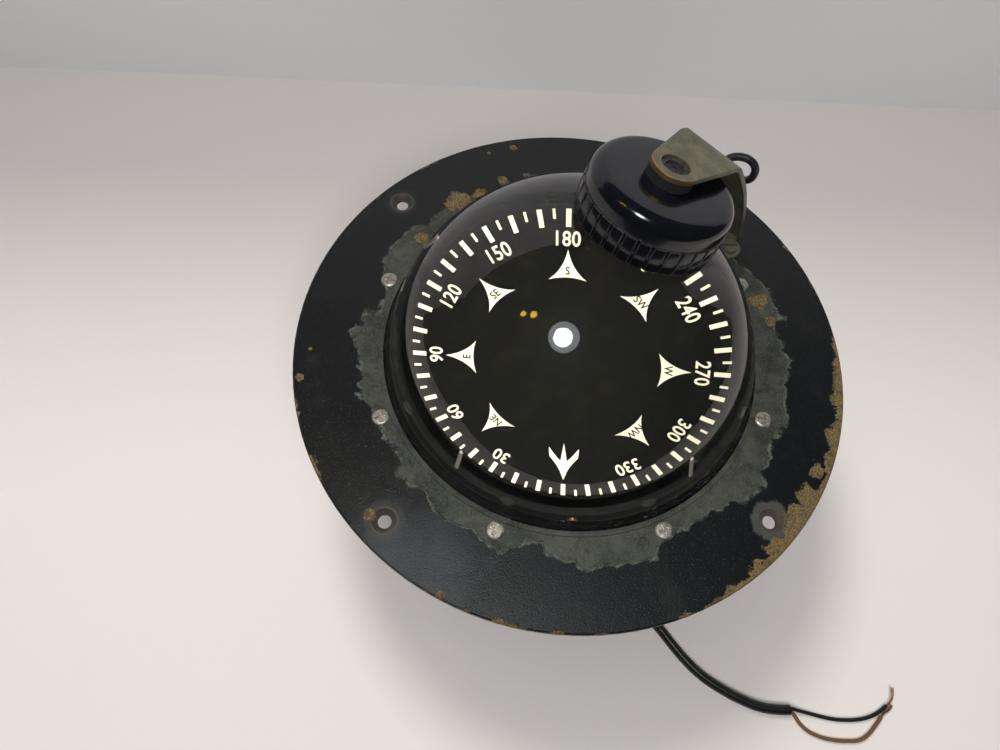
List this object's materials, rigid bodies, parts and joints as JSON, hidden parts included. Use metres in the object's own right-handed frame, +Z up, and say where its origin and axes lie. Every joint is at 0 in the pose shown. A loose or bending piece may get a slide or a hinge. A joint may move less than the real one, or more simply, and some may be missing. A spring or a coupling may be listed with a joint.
{
  "type": "flush-mount magnetic compass",
  "caption": "Domed liquid compass on a flat round flange, with a gimballed card, a lamp hood held on a bent strap, and a two-core supply cord.",
  "frame": {"origin": "bowl axis at the underside of the compensator housing", "axes": "+Z up along the bowl axis; -Y towards the reader; the lamp hood stands at 43 degrees from +X towards +Y"},
  "size_m": [0.2665, 0.267, 0.1735],
  "materials": {
    "black_lacquer": "worn satin black lacquer",
    "bowl_paint": "matt dark paint",
    "clear_dome": "clear, polished",
    "black_sealant": "glossy, uneven",
    "black_rubber": "matt",
    "plated_screw": "dull plated",
    "brass_fitting": "turned, slightly dull",
    "bronze_patina": "dark olive patina",
    "fibre_washer": "matt fibre",
    "cover_brass": "dull",
    "magnet_steel": "ground",
    "pivot_steel": "polished",
    "gimbal_black": "matt black",
    "counter_lead": "cast",
    "pin_metal": "pale, plated",
    "card_black": "matt black with ivory print",
    "float_skin": "matt",
    "jewel_red": "polished stone",
    "hood_black": "glossy black moulding",
    "filter_red": "red, clear",
    "insulator_brown": "matt",
    "bulb_clear": "clear",
    "cable_black": "satin",
    "cable_brown": "satin",
    "copper_strand": "bright strands"
  },
  "bodies": {
    "casing": {"mounting_flange": "black_lacquer", "dome": "clear_dome", "sealant_bead": "black_sealant", "dome_gasket": "black_rubber", "flange_screws": "plated_screw", "bowl_rim": "bowl_paint", "bowl": "bowl_paint", "filler_plug": "brass_fitting", "filler_washer": "fibre_washer", "diaphragm": "black_rubber", "diaphragm_cover": "cover_brass", "cover_screws": "plated_screw", "compensator_housing": "cover_brass", "gimbal_pivot_screws": "brass_fitting", "hood_strap": "bronze_patina", "strap_screws": "bronze_patina", "hood_spacer": "black_rubber", "hood_body": "hood_black", "filter_gasket": "black_rubber", "lamp_socket": "brass_fitting", "lamp_insulator": "insulator_brown", "lamp_contact": "brass_fitting", "bulb_base": "brass_fitting", "bulb_glass": "bulb_clear", "lead_grommet": "brass_fitting", "lamp_lead": "cable_black", "cord_gland": "black_rubber", "gland_screws": "plated_screw", "cord_jacket": "cable_black", "core_black": "cable_black", "core_brown": "cable_brown", "core_strands": "copper_strand"},
    "ns_adjuster": {"ns_adjuster_rod": "brass_fitting", "ns_magnets": "magnet_steel"},
    "ew_adjuster": {"ew_adjuster_rod": "brass_fitting", "ew_magnets": "magnet_steel"},
    "outer_gimbal": {"outer_gimbal_ring": "gimbal_black", "inner_pivot_pins": "brass_fitting"},
    "inner_gimbal": {"inner_gimbal_ring": "gimbal_black", "cradle_arms": "gimbal_black", "counterweight": "counter_lead", "pivot_post": "brass_fitting", "pivot_point": "pivot_steel", "lubber_pins": "pin_metal"},
    "card": {"card_disc": "card_black", "card_float": "float_skin", "jewel_cup": "brass_fitting", "pivot_jewel": "jewel_red", "card_magnets": "magnet_steel"},
    "filter": {"hood_filter": "filter_red"},
    "ring": {"hood_ring": "hood_black"}
  },
  "joints": [
    {"name": "gimbal_roll", "type": "hinge", "parent": "casing", "child": "outer_gimbal", "pos_m": [0, 0, 0.0665], "axis": [1, 0, 0], "range_deg": [-20, 20]},
    {"name": "gimbal_pitch", "type": "hinge", "parent": "outer_gimbal", "child": "inner_gimbal", "pos_m": [0, 0, 0.0665], "axis": [0, 1, 0], "range_deg": [-20, 20]},
    {"name": "card_turn", "type": "hinge", "parent": "inner_gimbal", "child": "card", "pos_m": [0, 0, 0.0685], "axis": [0, 0, 1], "continuous": true},
    {"name": "ns_adjust", "type": "hinge", "parent": "casing", "child": "ns_adjuster", "pos_m": [0, 0, 0.008], "axis": [0, 1, 0], "continuous": true},
    {"name": "ew_adjust", "type": "hinge", "parent": "casing", "child": "ew_adjuster", "pos_m": [0, 0, 0.0136], "axis": [1, 0, 0], "continuous": true},
    {"name": "filter_slide", "type": "slide", "parent": "casing", "child": "filter", "axis": [-0.2441, -0.2277, -0.9426], "range_m": [0, 0.00121]},
    {"name": "ring_turn", "type": "hinge", "parent": "filter", "child": "ring", "pos_m": [0.01953, 0.01821, 0.147], "axis": [0.2441, 0.2277, 0.9426], "range_deg": [0, 360]}
  ],
  "couplings": [
    {"joint": "filter_slide", "follows": "ring_turn", "m_per_rad": 0.00019099}
  ]
}
